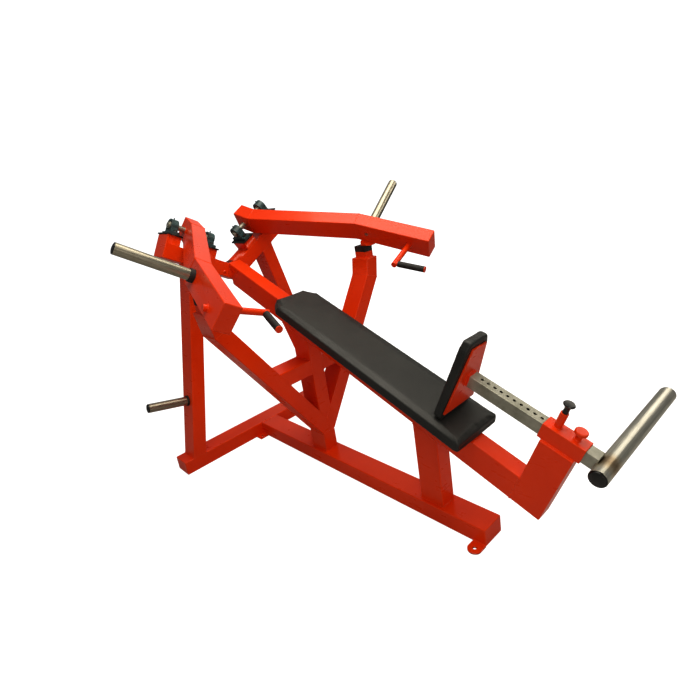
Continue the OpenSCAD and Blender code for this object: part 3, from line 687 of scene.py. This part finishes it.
def closest_shift(first, second):
    """The second ring, started at the vertex that brings the two rings closest."""
    shifts = [second[k:] + second[:k] for k in range(len(second))]
    return min(shifts, key=lambda ring: sum((a.co - b.co).length for a, b in zip(first, ring)))


def finish_beads(name, mesh, body="frame", material=RED):
    """Makes one smooth piece of all the beads in a bmesh."""
    if not mesh.verts:
        mesh.free()
        raise SystemExit(f"{name}: no outline was found for this weld")
    bmesh.ops.recalc_face_normals(mesh, faces=mesh.faces)
    for face in mesh.faces:
        face.smooth = True
    add_piece(name, mesh, body, material)


def sunk(points, depth):
    """The path moved in towards its middle."""
    middle = sum(points, Vector()) / len(points)
    return [point + (middle - point).normalized() * depth for point in points]


def weld(name, pairs, radius, body="frame", material=RED):
    """One piece with the beads of several joints; a pair is the part that ends there and the other part."""
    mesh = bmesh.new()
    for node, other in pairs:
        for points, closed in touching_outlines(node, other):
            add_bead(mesh, points, closed, radius)
    finish_beads(name, mesh, body, material)


SEAM_LUMPS = 0.1
SEAM_SHOWING = 0.4 * MM


def flush_weld(name, pairs):
    """Beads ground almost flat: they fill the groove between the rounded edges of flush tubes."""
    mesh = bmesh.new()
    for node, other in pairs:
        for points, closed in touching_outlines(node, other):
            path = sunk(points, TUBE_EDGE - SEAM_SHOWING)
            add_bead(mesh, path, closed, TUBE_EDGE, lumps=SEAM_LUMPS, sides=2 * BEAD_SIDES)
    finish_beads(name, mesh)


MITRE_BEND = (math.radians(10), math.radians(30))
# The edges on the inside of the tube's wall are shorter than this share of the outer ones
OUTER_SKIN_SHARE = 0.97
MITRE_SEAM_RADIUS = 1.3 * MM


def mitre_edges(node):
    """The edges of a bent tube's outer skin at its mitres, as pairs of points."""
    mesh = joined_mesh(node)
    least, most = MITRE_BEND
    found = [[vert.co.copy() for vert in edge.verts] for edge in mesh.edges
             if least < edge.calc_face_angle(0) < most]
    mesh.free()
    longest = max((a - b).length for a, b in found)
    return [(a, b) for a, b in found if (a - b).length > OUTER_SKIN_SHARE * longest]


def mitre_seams(name, node, body):
    """Ground-down weld lines round a bent tube: one loop through each pair of facing mitre edges."""
    edges = mitre_edges(node)
    mesh = bmesh.new()
    while edges:
        first = edges.pop()
        middle = (first[0] + first[1]) / 2
        second = min(edges, key=lambda pair: ((pair[0] + pair[1]) / 2 - middle).length)
        edges.remove(second)
        if (first[1] - second[0]).length > (first[1] - second[1]).length:
            second = second[::-1]
        add_bead(mesh, finely([*first, *second], True), True, MITRE_SEAM_RADIUS)
    finish_beads(name, mesh, body)


STUB_BEAD_RADIUS = 3.2 * MM
STUB_CORNER_LENGTH = 100 * MM
PROBE_START = 2 * MM
PROBE_REACH = 100 * MM


def stub_welds():
    """Fillet welds in the outer corners where the bearing stubs stand on the crossbeam."""
    source = joined_mesh("wing_beam")
    tree = BVHTree.FromBMesh(source)
    mesh = bmesh.new()
    for edge in source.edges:
        inner_corner = is_sharp(edge) and edge.calc_face_angle_signed(0) < 0
        if not (inner_corner and edge.calc_length() > STUB_CORNER_LENGTH):
            continue
        start, end = (vert.co.copy() for vert in edge.verts)
        outwards = sum((face.normal for face in edge.link_faces), Vector()).normalized()
        probe = (start + end) / 2 + outwards * PROBE_START
        if tree.ray_cast(probe, outwards, PROBE_REACH)[0] is None:
            add_bead(mesh, finely([start, end]), False, STUB_BEAD_RADIUS)
    source.free()
    finish_beads("welds_stubs", mesh)


def frame_welds():
    weld("welds_base", [("front_post", "base_beam"), ("pedestal", "base_beam")], 3.4 * MM)
    flush_weld("seams_base", [("base_beam", "cross_member"), ("rear_post_left", "cross_member"),
                              ("rear_post_right", "cross_member")])
    flush_weld("seams_fork", [("fork_left", "pedestal"), ("fork_right", "pedestal"),
                              ("fork_left", "fork_right"), ("fork_braces", "fork_left"),
                              ("fork_braces", "fork_right"), ("fork_braces", "centre_column"),
                              ("centre_column", "fork_left"), ("centre_column", "fork_right")])
    flush_weld("seams_bench", [("front_post", "bench_beam"), ("centre_column", "bench_beam"),
                               ("column_gusset", "bench_beam"), ("column_gusset", "centre_column"),
                               ("bench_beam", "wing_beam"), ("bench_beam", "seat_riser")])
    flush_weld("seams_rear", [("rear_post_left", "wing_beam"), ("rear_post_right", "wing_beam")])
    weld("welds_stops", [("stop_posts", "fork_left"), ("stop_posts", "fork_right")], 2.6 * MM)
    weld("welds_sleeve", [("seat_riser", "guide_sleeve"), ("guide_sleeve", "seat_riser"),
                          ("pin_barrel", "guide_sleeve"), ("clamp_boss", "guide_sleeve")], 2.8 * MM)
    weld("welds_lugs", [("floor_lugs", "base_beam")], 2.4 * MM)
    stub_welds()
    for side in SIDES:
        mitre_seams(f"seams_fork_{side}", f"fork_{side}", "frame")


def carriage_welds():
    weld("weld_seat_plate", [("seat_tube", "seat_plate")], 3.4 * MM, "seat_slide")
    weld("weld_foot_bar", [("seat_tube", "foot_bar")], 2.6 * MM, "seat_slide",
         bar_material("weld_steel", SIDEWAYS, OLIVE_TONES, 1.0, centre_of("seat_tube")))


def arm_welds(side):
    arm, body = f"arm_{side}", f"{side}_arm"
    mitre_seams(f"seams_arm_{side}", arm, body)
    weld(f"welds_rods_{side}", [(arm, f"handle_{side}"), (arm, f"shaft_{side}")], 2.6 * MM, body)
    weld(f"weld_stop_foot_{side}", [(f"stop_foot_{side}", arm)], 3.0 * MM, body)


# ---- Cushions ----

SIM_FRAMES = 20
PRESSURE = 4.0
CUSHION_EDGE = 13 * MM
CUSHION_MARGIN = 3 * MM
HELD_DEPTH = 4 * MM
BENCH_VOXEL = 6 * MM
BENCH_SWELL = 7 * MM
SEAT_VOXEL = 5 * MM
SEAT_SWELL = 2.5 * MM


def bench_coordinates(point):
    return Vector((point.dot(BENCH_DOWN), point.y, point.dot(BENCH_UP)))


def from_bench(point):
    return BENCH_DOWN * point.x + SIDEWAYS * point.y + BENCH_UP * point.z


def shrunk_copy(node, name, margins):
    """A copy of a CAD cushion; margins has, per bench direction, how much its low and high side move in."""
    mesh = joined_mesh(node)
    for vert in mesh.verts:
        vert.co = bench_coordinates(vert.co)
    low = Vector([min(vert.co[i] for vert in mesh.verts) for i in range(3)])
    high = Vector([max(vert.co[i] for vert in mesh.verts) for i in range(3)])
    for vert in mesh.verts:
        for i, (from_low, from_high) in enumerate(margins):
            share = (vert.co[i] - low[i]) / (high[i] - low[i])
            vert.co[i] = low[i] + from_low + share * (high[i] - low[i] - from_low - from_high)
        vert.co = from_bench(vert.co)
    return new_object(name, mesh)


def apply_modifiers(piece):
    evaluated = piece.evaluated_get(bpy.context.evaluated_depsgraph_get())
    data = bpy.data.meshes.new_from_object(evaluated)
    piece.modifiers.clear()
    piece.data = data


def inflate(piece, voxel, resting, swell):
    """Remeshes the piece, holds its resting side still and blows the rest up as cloth, by up to swell."""
    remesh = piece.modifiers.new("voxels", "REMESH")
    remesh.mode = "VOXEL"
    remesh.voxel_size = voxel
    apply_modifiers(piece)
    rest = [vert.co.copy() for vert in piece.data.vertices]
    pinned = piece.vertex_groups.new(name="pinned")
    pinned.add([i for i, point in enumerate(rest) if resting(point)], 1.0, "REPLACE")
    cloth = piece.modifiers.new("cloth", "CLOTH")
    cloth.settings.quality = 5
    cloth.settings.mass = 0.3
    cloth.settings.use_pressure = True
    cloth.settings.uniform_pressure_force = PRESSURE
    cloth.settings.effector_weights.gravity = 0.0
    cloth.settings.vertex_group_mass = "pinned"
    cloth.settings.tension_stiffness = 25
    cloth.settings.bending_stiffness = 2.0
    cloth.point_cache.frame_start = 1
    cloth.point_cache.frame_end = SIM_FRAMES
    for number in range(1, SIM_FRAMES + 1):
        scene.frame_set(number)
    apply_modifiers(piece)
    scene.frame_set(1)
    for vert, start in zip(piece.data.vertices, rest):
        moved = vert.co - start
        if moved.length > swell:
            vert.co = start + moved * (swell / moved.length)
    piece.vertex_groups.clear()


def upholster(nodes, name, body, margins, resting, voxel, swell):
    """Makes the cushion that stands for CAD cushion solids; the first of them gives its outline."""
    piece = shrunk_copy(nodes[0], name, margins)
    soften = piece.modifiers.new("soften", "BEVEL")
    soften.limit_method = "ANGLE"
    soften.angle_limit = math.radians(35)
    soften.width = CUSHION_EDGE
    soften.segments = 4
    apply_modifiers(piece)
    inflate(piece, voxel, resting, swell)
    relax = piece.modifiers.new("relax", "SMOOTH")
    relax.factor = 0.5
    relax.iterations = 6
    subdivide = piece.modifiers.new("subdivide", "SUBSURF")
    subdivide.levels = 1
    subdivide.render_levels = 1
    apply_modifiers(piece)
    for face in piece.data.polygons:
        face.use_smooth = True
    piece.data.materials.clear()
    piece.data.materials.append(VINYL)
    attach(piece, body)
    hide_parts(*nodes)


def cushion_points(node):
    return [bench_coordinates(vert.co) for vert in NODES[node].data.vertices]


def bench_cushion():
    """Its cover wraps the edge of the board and is held under it."""
    board_floor = min(point.z for point in cushion_points("bench_board"))
    wrap = board_floor - min(point.z for point in cushion_points("bench_pad"))
    side = (CUSHION_MARGIN, CUSHION_MARGIN)

    def on_board(point):
        return bench_coordinates(point).z < board_floor + HELD_DEPTH

    upholster(("bench_pad", "bench_board"), "bench_cushion", "frame",
              (side, side, (wrap, 2 * CUSHION_MARGIN)), on_board, BENCH_VOXEL, BENCH_SWELL)


def seat_cushion():
    """It rests on the seat plate, which is at its foot end."""
    plate_side = max(point.x for point in cushion_points("seat_pad"))
    side = (CUSHION_MARGIN, CUSHION_MARGIN)

    def on_plate(point):
        return bench_coordinates(point).x > plate_side - HELD_DEPTH

    upholster(("seat_pad",), "seat_cushion", "seat_slide",
              ((2 * CUSHION_MARGIN, 0.0), side, side), on_plate, SEAT_VOXEL, SEAT_SWELL)


# ---- Stage, light and camera ----

WORLD_LIGHT = 0.17
WARM = (1.0, 0.93, 0.80)
FLOOR_REACH = 14
FLOOR_GAP = 0.2 * MM
# The machine seen from its foot end and its right side, as in the photograph; metres and degrees
CAMERA_AT = Vector((1.976, -1.4461, 1.5543))
CAMERA_YAW = math.radians(51.87)
CAMERA_PITCH = math.radians(17.75)
CAMERA_ROLL = math.radians(-9.99)
CAMERA_LENS = 25.49
CAMERA_SHIFT = (0.0435, -0.0335)


def place_camera():
    data = bpy.data.cameras.new("camera")
    data.lens = CAMERA_LENS
    data.sensor_width = 36
    data.shift_x, data.shift_y = CAMERA_SHIFT
    data.clip_end = 60
    camera = bpy.data.objects.new("camera", data)
    scene.collection.objects.link(camera)
    forward = Vector((-math.sin(CAMERA_YAW) * math.cos(CAMERA_PITCH),
                      math.cos(CAMERA_YAW) * math.cos(CAMERA_PITCH), -math.sin(CAMERA_PITCH)))
    level = Vector((math.cos(CAMERA_YAW), math.sin(CAMERA_YAW), 0))
    upright = level.cross(forward)
    right = level * math.cos(CAMERA_ROLL) + upright * math.sin(CAMERA_ROLL)
    up = upright * math.cos(CAMERA_ROLL) - level * math.sin(CAMERA_ROLL)
    turn = Matrix((right, up, -forward)).transposed().to_4x4()
    camera.matrix_world = Matrix.Translation(CAMERA_AT) @ turn
    scene.camera = camera


def area_light(name, offset, size, power):
    """A warm rectangle of light, offset from the middle of the machine and aimed at it."""
    low, high = cad_bounds
    data = bpy.data.lights.new(name, "AREA")
    data.shape = "RECTANGLE"
    data.size, data.size_y = size
    data.energy = power
    data.color = WARM
    light = bpy.data.objects.new(name, data)
    light.location = (low + high) / 2 + Vector(offset)
    light.rotation_euler = (-Vector(offset)).to_track_quat("-Z", "Y").to_euler()
    scene.collection.objects.link(light)


def light_the_stage():
    """Soft light mostly from above."""
    area_light("overhead", (0.3, 0.2, 3.0), (3.2, 2.4), 90)
    area_light("front_fill", (3.4, -2.2, 1.2), (2.4, 2.0), 34)
    area_light("side_fill", (-0.8, -4.0, 1.6), (2.6, 1.6), 9)
    area_light("back_rim", (-2.8, 2.6, 2.0), (3.2, 3.0), 7)
    area_light("far_strip", (1.2, 3.0, 1.6), (2.0, 0.8), 15)


def hang_backdrop():
    """A backdrop that is white to the camera but lights the machine weakly."""
    world = bpy.data.worlds.new("studio")
    world.use_nodes = True
    tree = world.node_tree
    background = tree.nodes["Background"]
    background.inputs["Color"].default_value = (1, 1, 1, 1)
    seen = tree.nodes.new("ShaderNodeLightPath")
    strength = tree.nodes.new("ShaderNodeMapRange")
    strength.inputs["To Min"].default_value = WORLD_LIGHT
    strength.inputs["To Max"].default_value = 1.0
    tree.links.new(seen.outputs["Is Camera Ray"], strength.inputs["Value"])
    tree.links.new(strength.outputs["Result"], background.inputs["Strength"])
    scene.world = world
    scene.view_settings.view_transform = "Standard"
    scene.view_settings.look = "Medium High Contrast"


def lay_floor():
    mesh = bmesh.new()
    bmesh.ops.create_grid(mesh, x_segments=8, y_segments=8, size=FLOOR_REACH)
    floor = new_object("floor", mesh)
    floor.location.z = cad_bounds[0].z - FLOOR_GAP
    floor.data.materials.append(floor_material())


round_cad_edges()
cover_cad_nodes()
frame_welds()
carriage_welds()
for side in SIDES:
    arm_welds(side)
bench_cushion()
seat_cushion()
lay_floor()
hang_backdrop()
light_the_stage()
place_camera()
